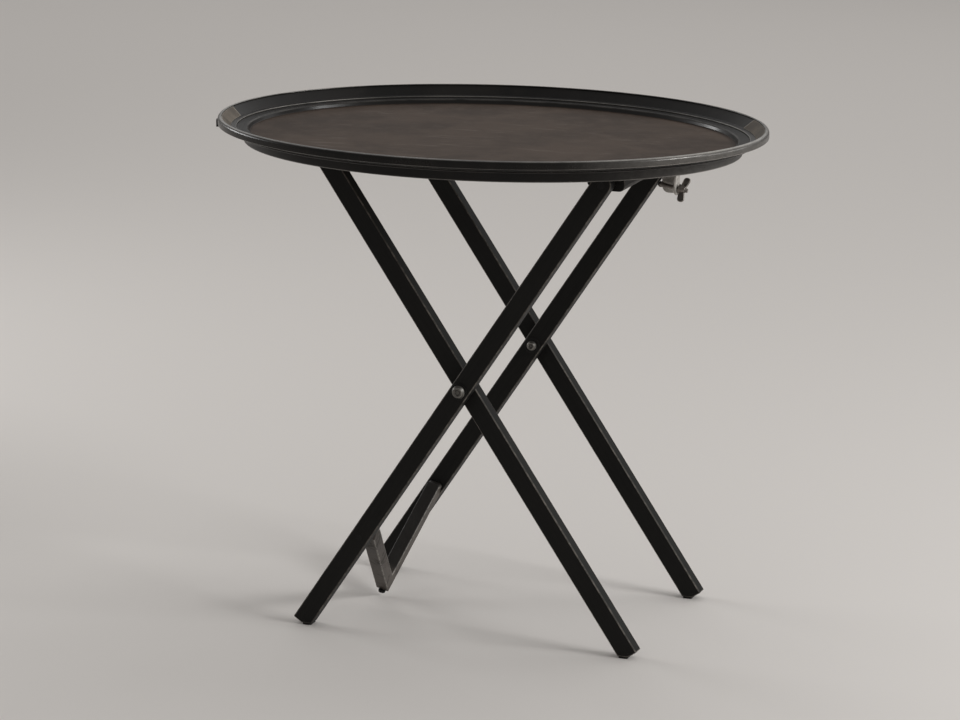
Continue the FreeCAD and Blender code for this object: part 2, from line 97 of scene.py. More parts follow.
# Legs, battens and feet
leg_crown_share = 0.97
foot_flat = 0.014
bar_edge = 0.0013
foot_corner = 0.0012
batten_corner = 0.007
batten_edge = 0.0011
batten_wear_share = 0.5
saddle_toe_share = 0.35
saddle_cheek_share = 0.6
saddle_roof_share = 1.05
saddle_round_share = 0.8
saddle_tip = 0.0006
saddle_edge = 0.0012
saddle_cheek_round = 0.003
rod_seat_gap = 0.0003
catch_flank = math.radians(48.0)
pad_corner = 0.002
pad_edge = 0.0006

# Hardware
rod_dome = 0.0003
rod_head_share = 0.72
rod_head_edge = 0.0006
rod_head_round = 0.002
bolt_head_shares = {"front": 0.9, "rear": 0.7}
bolt_radius = 0.004
bolt_head_rim = 0.0022
bolt_dish_radius = 0.0046
bolt_dish_depth = 0.0012
bolt_dish_lip_share = 0.3
bolt_tip_share = 0.8
bolt_rounds = [0, 0.0007, 0.0006, 0.0012, 0.0010, 0.0003, 0.0002, 0]
washer_round_share = 0.35
thread_pitch = 0.00125
thread_depth = 0.0005
thread_start = 0.001
thread_core_share = 0.5
nut_flats = 0.013
nut_chamfer_share = 0.48
nut_power = 40
nut_band = 0.25
screw_count = 3
screw_dome_share = 0.8
screw_head_height = 0.0022
screw_slot_width = 0.0011
screw_slot_depth = 0.0008
screw_slot_flank_share = 0.4
screw_slot_floor_share = 0.6
screw_radius = 0.0022
rivet_head_height = 0.0018
rivet_radius = 0.002
rivet_round_share = 0.9
metal_edge = 0.0004

# Prop and clamp
prop_edge = 0.0013
prop_half = 0.009
prop_lean = math.radians(15.0)
prop_apex_drop = 0.109
prop_tip_drop = 0.1218
prop_stud_radius = 0.005
prop_stud_taper = 0.86
prop_stud_drop = 0.1254
prop_pin_radius = 0.004
prop_pin_edge = 0.0002
prop_pin_round_share = 0.3
clamp_tilt = math.radians(10.0)
clamp_tip_radius = 0.004
clamp_shank_radius = 0.003
clamp_shank_length = 0.0365
bracket_sheet = 0.0025
bracket_web_gap = 0.002
bracket_boss_radius = 0.006
bracket_boss_length = 0.004
bracket_reach = 0.022
bracket_toe_radius = 0.009
bracket_tongue_rise = 0.020
bracket_bend = 0.0035
wing_start = 0.0245
wing_hub_length = 0.009
wing_hub_radius = 0.0065
wing_hub_tip_radius = 0.0046
wing_hub_edge = 0.0008
wing_root_inset = 0.001
wing_round_share = 0.8
wing_edge_share = 0.4
wing_lobe_radius = 0.0052
wing_lobe_reach = 0.012
wing_lobe_rake = 0.0035
wing_sheet = 0.0028
wing_turn = math.radians(35.0)


def box(node):
    """Lowest and highest corner of a node as arrays."""
    low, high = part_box(node)
    return np.array(low), np.array(high)


def middle(node):
    low, high = box(node)
    return (low + high) / 2


def half_span(node, axis=0):
    """Half of a node's width along one axis."""
    low, high = box(node)
    return (high - low)[axis] / 2


# Places read from the frame
hoop_low, hoop_high = box("rim_hoop")
pan_low, pan_high = box("tray_pan")
band_high = box("gallery_band")[1]
half_length, half_width, rim_top = hoop_high
hoop_bottom = hoop_low[2]
pan_bottom = pan_low[2]
ledge_top = pan_high[2]
floor_top = pan_bottom + pan_sheet
ledge_inset = half_length - pan_high[0]
gallery_top = band_high[2]
gallery_top_inset = half_length - band_high[0]
pivot_x, pivot_z = middle("pivot_bolt_front")[[0, 2]]
hinge_x, rod_z = middle("hinge_rod")[[0, 2]]
catch_x = middle("catch_rod")[0]
rod_radius = half_span("catch_rod")
lean = math.atan2(catch_x - pivot_x, rod_z - pivot_z)
leg_half = box("leg_front_inner")[1][2] - rod_z
foot_height = box("leg_front_inner")[0][2]


def unit(vectors):
    return vectors / np.linalg.norm(vectors, axis=-1, keepdims=True)


def rounded(corners, radius, closed=True, steps=arc_steps):
    """Outline whose corners are arcs tangent to the two sides that meet there.

    An arc's centre lies on the corner's bisector, and its points turn evenly from one
    tangent point to the other. A guard point off each end keeps the sides flat.
    Returns the points, and 1 on arcs that bulge outward, -1 on hollow ones and 0 on sides.
    """
    corners = np.asarray(corners, float)
    radius = np.broadcast_to(np.asarray(radius, float), len(corners))
    inner = slice(None) if closed else slice(1, -1)
    to_last = unit((np.roll(corners, 1, axis=0) - corners)[inner])
    to_next = unit((np.roll(corners, -1, axis=0) - corners)[inner])
    corner = corners[inner]
    bend = radius[inner]
    half = np.arccos(np.clip((to_last * to_next).sum(axis=1), -1, 1)) / 2
    reach = (bend / np.tan(half))[:, None]
    centre = corner + unit(to_last + to_next) * (bend / np.sin(half))[:, None]
    sweep = (math.pi - 2 * half)[:, None, None]
    share = np.linspace(0, 1, steps)[None, :, None]
    start = (corner + to_last * reach - centre)[:, None]
    end = (corner + to_next * reach - centre)[:, None]
    arcs = (np.sin((1 - share) * sweep) * start + np.sin(share * sweep) * end) / np.sin(sweep)
    arcs = centre[:, None] + arcs
    lead = (corner + to_last * (reach + flat_guard))[:, None]
    tail = (corner + to_next * (reach + flat_guard))[:, None]
    points = np.concatenate([lead, arcs, tail], axis=1)
    turn = to_last[:, 1] * to_next[:, 0] - to_last[:, 0] * to_next[:, 1]
    worn = np.zeros(points.shape[:2])
    worn[:, 1:-1] = np.sign(turn * signed_area(corners))[:, None]
    points = points.reshape(-1, 2)
    worn = worn.ravel()
    if closed:
        return points, worn
    return np.concatenate([corners[:1], points, corners[-1:]]), np.concatenate([[0], worn, [0]])


def signed_area(outline):
    """Twice the area, above 0 for an outline that runs anticlockwise."""
    x, y = outline.T
    return (x * np.roll(y, -1) - y * np.roll(x, -1)).sum()


def box_corners(x0, x1, y0, y1):
    return [(x0, y0), (x1, y0), (x1, y1), (x0, y1)]


def full_turn(count):
    """Even angles once round, as a column."""
    return np.linspace(0, 2 * math.pi, count, endpoint=False)[:, None]


def grid_faces(rows, columns, close_rows=False, close_columns=False):
    """Quads between neighbouring rows and columns; the last may join the first."""
    row = np.arange(rows if close_rows else rows - 1)[:, None]
    column = np.arange(columns if close_columns else columns - 1)[None, :]
    next_row = (row + 1) % rows
    next_column = (column + 1) % columns
    corners = [
        row * columns + column,
        row * columns + next_column,
        next_row * columns + next_column,
        next_row * columns + column,
    ]
    return np.stack(np.broadcast_arrays(*corners), axis=-1).reshape(-1, 4)


class Shell:
    """One closed surface: points, face arrays, a wear value and a grain place for each point."""

    def __init__(self, points, faces, worn=None, grain=None):
        self.points = np.asarray(points, float).reshape(-1, 3)
        count = len(self.points)
        self.worn = np.zeros(count) if worn is None else np.asarray(worn, float).ravel()
        self.grain = np.zeros((count, 2)) if grain is None else np.asarray(grain, float).reshape(-1, 2)
        self.faces = [np.asarray(group) for group in faces]
        if self.volume() < 0:
            self.faces = [group[:, ::-1] for group in self.faces]

    def volume(self):
        """Sum over each face's fan of triangles of the boxes that they span with the middle."""
        places = self.points - self.points.mean(axis=0)
        total = 0
        for group in self.faces:
            for step in range(1, group.shape[1] - 1):
                a, b, c = (places[group[:, k]] for k in (0, step, step + 1))
                total += (a * np.cross(b, c)).sum()
        return total


def tube(points, worn, grain=None):
    """Rows of closed outlines joined into a shell, with flat ends on the first and the last."""
    rows, columns = points.shape[:2]
    ends = np.stack([np.arange(columns)[::-1], np.arange(columns) + (rows - 1) * columns])
    faces = grid_faces(rows, columns, close_columns=True)
    return Shell(points, [faces, ends], np.broadcast_to(worn, (rows, columns)), grain)


def capped(points, worn, near_pole, far_pole):
    """Closed ring of rows whose first and last columns run together in two poles."""
    rows, columns = points.shape[:2]
    count = rows * columns
    row = np.arange(rows)
    after = (row + 1) % rows
    near = np.stack([np.full(rows, count), row * columns, after * columns], axis=1)
    far = np.stack([np.full(rows, count + 1), after * columns, row * columns], axis=1)
    far[:, 1:] += columns - 1
    faces = [grid_faces(rows, columns, close_rows=True), near, far]
    places = np.concatenate([points.reshape(-1, 3), [near_pole, far_pole]])
    wear = np.broadcast_to(worn, (rows, columns)).ravel()
    return Shell(places, faces, np.concatenate([wear, [0, 0]]))


def put(name, data):
    """New object in the scene."""
    made = bpy.data.objects.new(name, data)
    bpy.context.scene.collection.objects.link(made)
    return made


def piece(name, shells, finish, body, nodes):
    """Joins shells into one mesh with a finish, rides it on a body and stands it for its nodes."""
    starts = np.cumsum([0] + [len(shell.points) for shell in shells])
    faces = []
    for shell, start in zip(shells, starts):
        for group in shell.faces:
            faces.extend((group + start).tolist())
    mesh = bpy.data.meshes.new(name)
    mesh.from_pydata(np.concatenate([shell.points for shell in shells]).tolist(), [], faces)
    mesh.polygons.foreach_set("use_smooth", np.ones(len(mesh.polygons), bool))
    worn = mesh.attributes.new("worn", "FLOAT", "POINT")
    worn.data.foreach_set("value", np.concatenate([shell.worn for shell in shells]).astype(np.float32))
    corner = np.empty(len(mesh.loops), np.int32)
    mesh.loops.foreach_get("vertex_index", corner)
    grain = np.concatenate([shell.grain for shell in shells])[corner]
    mesh.uv_layers.new(name="grain").data.foreach_set("uv", grain.ravel().astype(np.float32))
    mesh.update()
    mesh.materials.append(finish)
    made = put(name, mesh)
    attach(made, body)
    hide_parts(*nodes)


def oval_points(inset, height, turn, share=1.0):
    """Ellipse of the rim drawn in by an inset: (a - inset) cos t, (b - inset) sin t, height."""
    x = (half_length - inset) * np.cos(turn) * share
    y = (half_width - inset) * np.sin(turn) * share
    return np.stack(np.broadcast_arrays(x, y, height), axis=-1)


def oval_hoop(section, worn):
    """Closed section of insets and heights carried round the rim."""
    turn = full_turn(oval_segments)
    points = oval_points(section[None, :, 0], section[None, :, 1], turn)
    faces = grid_faces(oval_segments, len(section), close_rows=True, close_columns=True)
    return Shell(points, [faces], np.broadcast_to(worn, points.shape[:2]))


def oval_strip(section, worn, low, high):
    """Closed section carried along the rim's +X end between two places in Y, with flat ends marked worn,
    which the plate's finish paints pale, partly as the seam's highlight.
    """
    share = np.linspace(0, 1, oval_segments // 4)[:, None]
    wide = half_width - section[None, :, 0]
    turn = (1 - share) * np.arcsin(low / wide) + share * np.arcsin(high / wide)
    points = oval_points(section[None, :, 0], section[None, :, 1], turn)
    wear = np.tile(worn, (len(points), 1))
    # Marks the ends for a pale line: partly wear, partly a painted highlight on the seam.
    wear[[0, 1, -2, -1]] = 1
    return tube(points, wear)


def oval_pan(section, worn, rings):
    """Open section of insets and heights carried round, its two ends drawn in to the middle by shares."""
    share = np.linspace(0, 1, rings, endpoint=False)[1:]
    first, last = (np.repeat(section[[k]], rings - 1, axis=0) for k in (0, -1))
    inset, height = np.concatenate([first, section, last]).T
    worn = np.concatenate([0 * share, worn, 0 * share])
    share = np.concatenate([share, np.ones(len(section)), share[::-1]])
    turn = full_turn(oval_segments)
    points = oval_points(inset[None], height[None], turn, share[None])
    return capped(points, worn, [0, 0, section[0, 1]], [0, 0, section[-1, 1]])


def slab(outline, worn, low, high, origin, across, along, edge, grain="along"):
    """Flat outline carried through its thickness, with its rims rounded by quarter arcs.

    Each row is the outline drawn in along its mitred normals and set at a depth:
    offset edge (1 - sin t), depth edge (1 - cos t), mirrored on the far face.
    """
    origin, across, along = (np.asarray(v, float) for v in (origin, across, along))
    through = np.cross(along, across)
    turn = np.linspace(0, math.pi / 2, arc_steps)
    offset = np.concatenate([[edge + flat_guard], edge * (1 - np.sin(turn)), [0]])
    depth = np.concatenate([[0], edge * (1 - np.cos(turn)), [edge + flat_guard]])
    rim = np.concatenate([[0], np.ones(arc_steps), [0]])
    offset = np.concatenate([offset, offset[::-1]])[:, None, None]
    depth = np.concatenate([low + depth, high - depth[::-1]])[:, None]
    rim = np.concatenate([rim, rim[::-1]])[:, None]
    side = unit(np.roll(outline, -1, axis=0) - outline)
    normal = np.stack([-side[:, 1], side[:, 0]], axis=1)
    mitre = normal + np.roll(normal, 1, axis=0)
    mitre = 2 * mitre / (mitre ** 2).sum(axis=1, keepdims=True)
    if signed_area(outline) < 0:
        mitre = -mitre
    flat = outline[None] + mitre[None] * offset
    points = origin + flat[..., :1] * across + flat[..., 1:] * along + depth[..., None] * through
    depth = np.broadcast_to(depth, points.shape[:2])
    if grain == "along":
        place = np.stack([flat[..., 1], flat[..., 0] + depth], axis=-1)
    else:
        place = np.stack([depth, flat[..., 0] + flat[..., 1]], axis=-1)
    wear = np.where(rim > 0, 1, np.broadcast_to(worn, points.shape[:2]))
    wear[[0, -1]] = 0
    return tube(points, wear, place)


def turned(section, worn, origin, axis, groove=None):
    """Section of radii and lengths turned about an axis.

    A groove, if given, takes the radii, lengths and angles and returns what it adds to the
    radii and lengths. A section that starts and ends on the axis is closed by poles there.
    """
    origin, axis = np.asarray(origin, float), np.asarray(axis, float)
    aside = [0.3, 0.5, 0.8]
    first = unit(np.cross(axis, aside))
    second = np.cross(axis, first)
    angle = full_turn(round_segments)
    solid = section[0, 0] == 0
    ring = section[1:-1] if solid else section
    wear = worn[1:-1] if solid else worn
    shape = (round_segments, len(ring))
    radius = np.broadcast_to(ring[None, :, 0], shape)
    length = np.broadcast_to(ring[None, :, 1], shape)
    if groove:
        more_radius, more_length = groove(radius, length, angle)
        radius = radius + more_radius
        length = length + more_length
    radial = np.cos(angle)[..., None] * first + np.sin(angle)[..., None] * second
    points = origin + radius[..., None] * radial + length[..., None] * axis
    if not solid:
        faces = grid_faces(*shape, close_rows=True, close_columns=True)
        return Shell(points, [faces], np.broadcast_to(wear, shape))
    near_pole = points[:, 0].mean(axis=0) + (section[0, 1] - ring[0, 1]) * axis
    far_pole = points[:, -1].mean(axis=0) + (section[-1, 1] - ring[-1, 1]) * axis
    return capped(points, wear, near_pole, far_pole)


def turned_corners(corners, radius, origin, axis):
    """Rounded section, turned: from axis to axis if it starts there, or else a closed ring."""
    section, worn = rounded(corners, radius, closed=corners[0][0] > 0)
    return turned(section, worn, origin, axis)


def shaft(radii, ends):
    """Corners of a stepped round bar: each radius holds from one end to the next."""
    outer = np.concatenate([[0], np.repeat(radii, 2), [0]])
    return np.stack([outer, np.repeat(ends, 2)], axis=1)


class Signal:
    """A value's socket. Arithmetic on it adds Math nodes to its finish."""

    def __init__(self, finish, socket):
        self.finish = finish
        self.socket = socket

    def maths(self, operation, *terms):
        return self.finish.add("ShaderNodeMath", {"operation": operation}, dict(enumerate(terms)))

    def __add__(self, other):
        return self.maths("ADD", self, other)

    def __sub__(self, other):
        return self.maths("SUBTRACT", self, other)

    def __rsub__(self, other):
        return self.maths("SUBTRACT", other, self)

    def __mul__(self, other):
        return self.maths("MULTIPLY", self, other)

    __radd__ = __add__

    def over(self, low, high):
        """Rises smoothly from 0 at low to 1 at high."""
        sockets = {"Value": self, "From Min": low, "From Max": high}
        return self.finish.add("ShaderNodeMapRange", {"interpolation_type": "SMOOTHSTEP"}, sockets)


class Finish:
    """A material's node tree, with the few kinds of node that the finishes use."""

    def __init__(self, name, **constants):
        self.material = bpy.data.materials.new(name)
        self.material.use_nodes = True
        self.tree = self.material.node_tree
        self.shader = self.tree.nodes["Principled BSDF"]
        self.place = self.add("ShaderNodeTexCoord", {}, {}, "Object")
        self.shade(**constants)

    @staticmethod
    def find(sockets, key):
        """Socket by its identifier, or else by its name or number."""
        for socket in sockets:
            if socket.identifier == key:
                return socket
        return sockets[key]

    def feed(self, socket, value):
        if isinstance(value, Signal):
            self.tree.links.new(value.socket, socket)
        else:
            socket.default_value = value

    def add(self, kind, settings, sockets, output=0):
        """New node: its settings first, then the values or links of its sockets."""
        node = self.tree.nodes.new(kind)
        for key, value in settings.items():
            setattr(node, key, value)
        for key, value in sockets.items():
            self.feed(self.find(node.inputs, key), value)
        return Signal(self, self.find(node.outputs, output))

    def shade(self, **sockets):
        """Feeds the shader's sockets, named with underscores for spaces, and returns the material."""
        for key, value in sockets.items():
            self.feed(self.shader.inputs[key.replace("_", " ")], value)
        return self.material

    def worn(self):
        return self.add("ShaderNodeAttribute", {"attribute_name": "worn"}, {}, "Fac")

    def grain_place(self):
        return self.add("ShaderNodeUVMap", {"uv_map": "grain"}, {}, "UV")

    def stretched(self, place, scale):
        """Place with its first axis shrunk, which draws a noise out along it."""
        return self.add("ShaderNodeMapping", {}, {"Vector": place, "Scale": (scale, 1.0, 1.0)})

    def axis(self, name, place=None):
        return self.add("ShaderNodeSeparateXYZ", {}, {0: place or self.place}, name)

    def noise(self, size, detail, rough, distortion=0.0, place=None):
        """Cloudy value with features of about a size in metres."""
        sockets = {"Vector": place or self.place, "Scale": 1 / size, "Detail": detail}
        sockets.update({"Roughness": rough, "Distortion": distortion})
        return self.add("ShaderNodeTexNoise", {}, sockets, "Fac")

    def mix(self, share, first, second):
        """Colour that goes from the first to the second with the share."""
        settings = {"data_type": "RGBA", "clamp_factor": True}
        sockets = {"Factor_Float": share, "A_Color": first, "B_Color": second}
        return self.add("ShaderNodeMix", settings, sockets, "Result_Color")

    def bump(self, height, distance):
        """Normal tilted by a height from 0 to 1 that stands for a distance in metres."""
        return self.add("ShaderNodeBump", {}, {"Height": height, "Distance": distance})


def tone(red, green, blue):
    return (red, green, blue, 1.0)


def floor_lacquer():
    """Brown lacquer of the pan, dulled by use: clouded, with pale rub streaks, painted lighter partly in
    place of their sheen, and fine pits.

    The step and the ledge above the floor keep a darker lacquer, which shines along the roll.
    """
    finish = Finish("floor_lacquer", Specular_IOR_Level=0.05, Coat_Roughness=0.2)
    height = finish.axis("Z")
    well = 1 - height.over(floor_top + 0.0002, floor_top + 0.0012)
    clouds = finish.noise(0.11, 6.0, 0.62, 0.4)
    patches = finish.noise(0.025, 5.0, 0.6)
    streaks = finish.noise(0.012, 3.0, 0.5, place=finish.stretched(finish.place, 0.22))
    rubbed_and_sheen = streaks.over(0.58, 0.76) * clouds.over(0.42, 0.62) * well
    pits = finish.noise(0.0016, 2.0, 0.5)
    edge = finish.worn()
    colour = finish.mix(clouds.over(0.34, 0.66), tone(0.048, 0.0345, 0.0270), tone(0.078, 0.0570, 0.0445))
    colour = finish.mix(patches.over(0.45, 0.75) * 0.5, colour, tone(0.090, 0.0680, 0.0540))
    # Pale streaks: rub marks, painted lighter partly in place of their sheen.
    colour = finish.mix(rubbed_and_sheen * 0.4, colour, tone(0.135, 0.108, 0.090))
    colour = finish.mix(well, tone(0.0085, 0.0075, 0.0068), colour)
    bare = edge.over(0.2, 1.0) * patches.over(0.30, 0.65) * 0.5
    colour = finish.mix(bare, colour, tone(0.075, 0.068, 0.062))
    colour = finish.mix((0 - edge).over(0.0, 1.0) * 0.5, colour, tone(0.012, 0.0105, 0.0095))
    normal = finish.bump(pits * 0.25 + patches * 0.75, 0.0003)
    rough = 0.34 + well * 0.16 + clouds * 0.08 + pits * 0.06 - rubbed_and_sheen * 0.10
    shine = (1 - well) * (0.55 - height.over(ledge_top - 0.0010, ledge_top - 0.0002) * 0.47)
    return finish.shade(Base_Color=colour, Roughness=rough, Coat_Weight=shine, Normal=normal)


def sheen_and_wear_places(finish):
    """Share of handling wear and painted highlight: its right front and, less, its left end."""
    along, across = finish.axis("X"), finish.axis("Y")
    right = along.over(0.17, 0.30) * (1 - across.over(-0.06, 0.12))
    left = 1 - along.over(-0.35, -0.22)
    return right + left * 0.45


def rim_lacquer(name, gloss, dull, sheen_share=0):
    """Satin black of the gallery and hoop, brown where it thins, and bare grey along its worn edges that is
    partly a painted highlight, most of all at the held places when a share is given.
    """
    finish = Finish(name, Specular_IOR_Level=gloss)
    clouds = finish.noise(0.06, 5.0, 0.6, 0.3)
    patches = finish.noise(0.010, 5.0, 0.62)
    pits = finish.noise(0.0012, 2.0, 0.5)
    edge = finish.worn()
    rubbed_and_sheen = edge.over(0.3, 1.0) * (0.30 + clouds.over(0.35, 0.65) * 0.40)
    if sheen_share:
        sheen_and_grip = sheen_and_wear_places(finish) * sheen_share
        # Painted highlight at the held places, where the side lamps' reflections fall, laid on as pale bare
        # metal over some handling wear.
        rubbed_and_sheen = rubbed_and_sheen * (0.6 + sheen_and_grip * 0.6) + sheen_and_grip * (0.26 + patches.over(0.25, 0.75) * 0.16)
    colour = finish.mix(clouds.over(0.35, 0.7), tone(0.0070, 0.0066, 0.0062), tone(0.0125, 0.0112, 0.0100))
    colour = finish.mix(patches.over(0.58, 0.80) * 0.4, colour, tone(0.030, 0.027, 0.024))
    # Pale grey: edge wear and painted highlight.
    colour = finish.mix(rubbed_and_sheen, colour, tone(0.30, 0.285, 0.265))
    normal = finish.bump(pits * 0.3 + patches * 0.7, 0.00012)
    rough = dull + clouds * 0.10 + pits * 0.06
    return finish.shade(Base_Color=colour, Metallic=rubbed_and_sheen * 0.8, Roughness=rough, Normal=normal)


def plate_patina():
    """Olive-brown patina of the end plates."""
    finish = Finish("plate_patina", Specular_IOR_Level=0.15)
    clouds = finish.noise(0.03, 5.0, 0.62, 0.5)
    specks = finish.noise(0.003, 4.0, 0.6)
    colour = finish.mix(clouds.over(0.35, 0.68), tone(0.080, 0.067, 0.053), tone(0.150, 0.127, 0.100))
    colour = finish.mix(specks.over(0.55, 0.8) * 0.6, colour, tone(0.036, 0.030, 0.025))
    # Pale edges: partly wear, partly a painted highlight along the seams.
    colour = finish.mix(finish.worn().over(0.3, 1.0) * 0.7, colour, tone(0.36, 0.33, 0.29))
    normal = finish.bump(specks, 0.0002)
    return finish.shade(Base_Color=colour, Roughness=0.42 + clouds * 0.16, Normal=normal)


def leg_stain():
    """Black-stained hardwood: faint long grain, fine pores and arrises worn to brown-grey, painted paler
    partly as a highlight along them.
    """
    finish = Finish("leg_stain", Specular_IOR_Level=0.22)
    place = finish.grain_place()
    grain = finish.noise(0.0024, 4.0, 0.6, place=finish.stretched(place, 0.04))
    pores = finish.noise(0.0007, 3.0, 0.6, place=finish.stretched(place, 0.03))
    clouds = finish.noise(0.09, 4.0, 0.6, 0.3)
    scuffs_and_glints = finish.noise(0.010, 5.0, 0.65)
    edge = finish.worn().over(0.2, 1.0)
    colour = finish.mix(grain.over(0.35, 0.7), tone(0.0046, 0.0044, 0.0039), tone(0.0072, 0.0067, 0.0058))
    colour = finish.mix(clouds.over(0.5, 0.75) * 0.4, colour, tone(0.0105, 0.0098, 0.0086))
    # Pale arrises: partly wear, partly a painted highlight along the edges.
    colour = finish.mix(edge * (0.30 + scuffs_and_glints.over(0.42, 0.68) * 0.65), colour, tone(0.155, 0.140, 0.122))
    normal = finish.bump(grain * 0.6 + pores * 0.4, 0.00004)
    return finish.shade(Base_Color=colour, Roughness=0.52 + pores * 0.14 - edge * 0.14, Normal=normal)


def black_rod():
    """Round steel, painted a thin black."""
    finish = Finish("black_rod", Specular_IOR_Level=0.25)
    patches = finish.noise(0.006, 5.0, 0.6)
    colour = finish.mix(patches.over(0.4, 0.7), tone(0.0050, 0.0048, 0.0044), tone(0.0090, 0.0084, 0.0075))
    normal = finish.bump(patches, 0.00008)
    return finish.shade(Base_Color=colour, Roughness=0.46 + patches * 0.2, Normal=normal)


def rear_arm_painted_shade(finish):
    """Share of painted shade on the prop, black like paint: the rear arm, but for its lit side towards the
    clamp.
    """
    place = finish.grain_place()
    along, face = finish.axis("X", place), finish.axis("Y", place)
    return along.over(0.000, 0.012) * (1 - face.over(0.90, 0.99)) * 0.9


def aged_steel(name, pale, dark, stain, size, bare=0.85, soil=0.0, painted_shade_mask=None):
    """Bare steel with a dull skin: pale worn places, dark skin, brown stains and, where a mask is given,
    painted shade in black.
    """
    finish = Finish(name, Specular_IOR_Level=0.4)
    clouds = finish.noise(size, 5.0, 0.62, 0.4)
    stains = finish.noise(size * 0.6, 6.0, 0.68, 0.8)
    fine = finish.noise(size * 0.08, 4.0, 0.6)
    edge = finish.worn()
    colour = finish.mix(clouds.over(0.3, 0.7), dark, pale)
    stained = stains.over(0.56 - soil, 0.72 - soil)
    colour = finish.mix(stained * 0.75, colour, stain)
    bright = edge.over(0.2, 1.0) * fine.over(0.3, 0.6)
    colour = finish.mix(bright * 0.5, colour, tone(0.42, 0.40, 0.37))
    hollow = (0 - edge).over(0.0, 1.0)
    colour = finish.mix(hollow * 0.7, colour, tone(0.02, 0.018, 0.016))
    metal = bare - stained * bare * 0.7
    if painted_shade_mask:
        # Painted shade: black laid where the mask says the steel stands in shade.
        painted_shade = painted_shade_mask(finish)
        colour = finish.mix(painted_shade, colour, tone(0.0075, 0.0070, 0.0064))
        metal = metal * (1 - painted_shade)
    rough = 0.40 + clouds * 0.14 + stained * 0.2 - bright * 0.08
    normal = finish.bump(fine * 0.5 + stains * 0.5, size * 0.012)
    return finish.shade(Base_Color=colour, Metallic=metal, Roughness=rough, Normal=normal)


def foot_pad():
    """Dull black pad with dust."""
    finish = Finish("foot_pad", Specular_IOR_Level=0.3)
    dust = finish.noise(0.003, 4.0, 0.6)
    colour = finish.mix(dust.over(0.5, 0.8), tone(0.010, 0.010, 0.0095), tone(0.04, 0.038, 0.035))
    return finish.shade(Base_Color=colour, Roughness=0.7 + dust * 0.15, Normal=finish.bump(dust, 0.0001))


floor_finish = floor_lacquer()
rim_finish = rim_lacquer("rim_lacquer", 0.20, 0.32)
# The foot ring and the hoop get the painted highlight at the held places.
ring_finish = rim_lacquer("ring_lacquer", 0.26, 0.32, 0.5)
hoop_finish = rim_lacquer("hoop_lacquer", 0.26, 0.18, 1.0)
plate_finish = plate_patina()
leg_finish = leg_stain()
rod_finish = black_rod()
bolt_finish = aged_steel(
    "bolt_steel", tone(0.170, 0.163, 0.150), tone(0.080, 0.077, 0.071), tone(0.035, 0.030, 0.026), 0.006,
)
clamp_finish = aged_steel(
    "clamp_steel", tone(0.60, 0.57, 0.53), tone(0.40, 0.38, 0.35), tone(0.17, 0.135, 0.11), 0.008, 0.3,
)
wing_finish = aged_steel(
    "wing_steel", tone(0.24, 0.215, 0.195), tone(0.12, 0.106, 0.096), tone(0.06, 0.046, 0.038), 0.007,
)
# The prop's rear arm is darkened by painted shade.
prop_finish = aged_steel(
    "prop_steel", tone(0.100, 0.086, 0.074), tone(0.052, 0.044, 0.038), tone(0.018, 0.015, 0.013),
    0.05, 0.35, 0.04, rear_arm_painted_shade,
)
pad_finish = foot_pad()


def flare_inset(height):
    """Inset of the gallery's outer face, straight from the ledge's edge to the hoop."""
    share = (height - ledge_top) / (gallery_top - ledge_top)
    return ledge_inset + share * (gallery_top_inset - ledge_inset)


def tray_piece(name, shell, finish, *nodes):
    """One shell of the enamelled tray."""
    piece(name, [shell], finish, "tray", nodes)


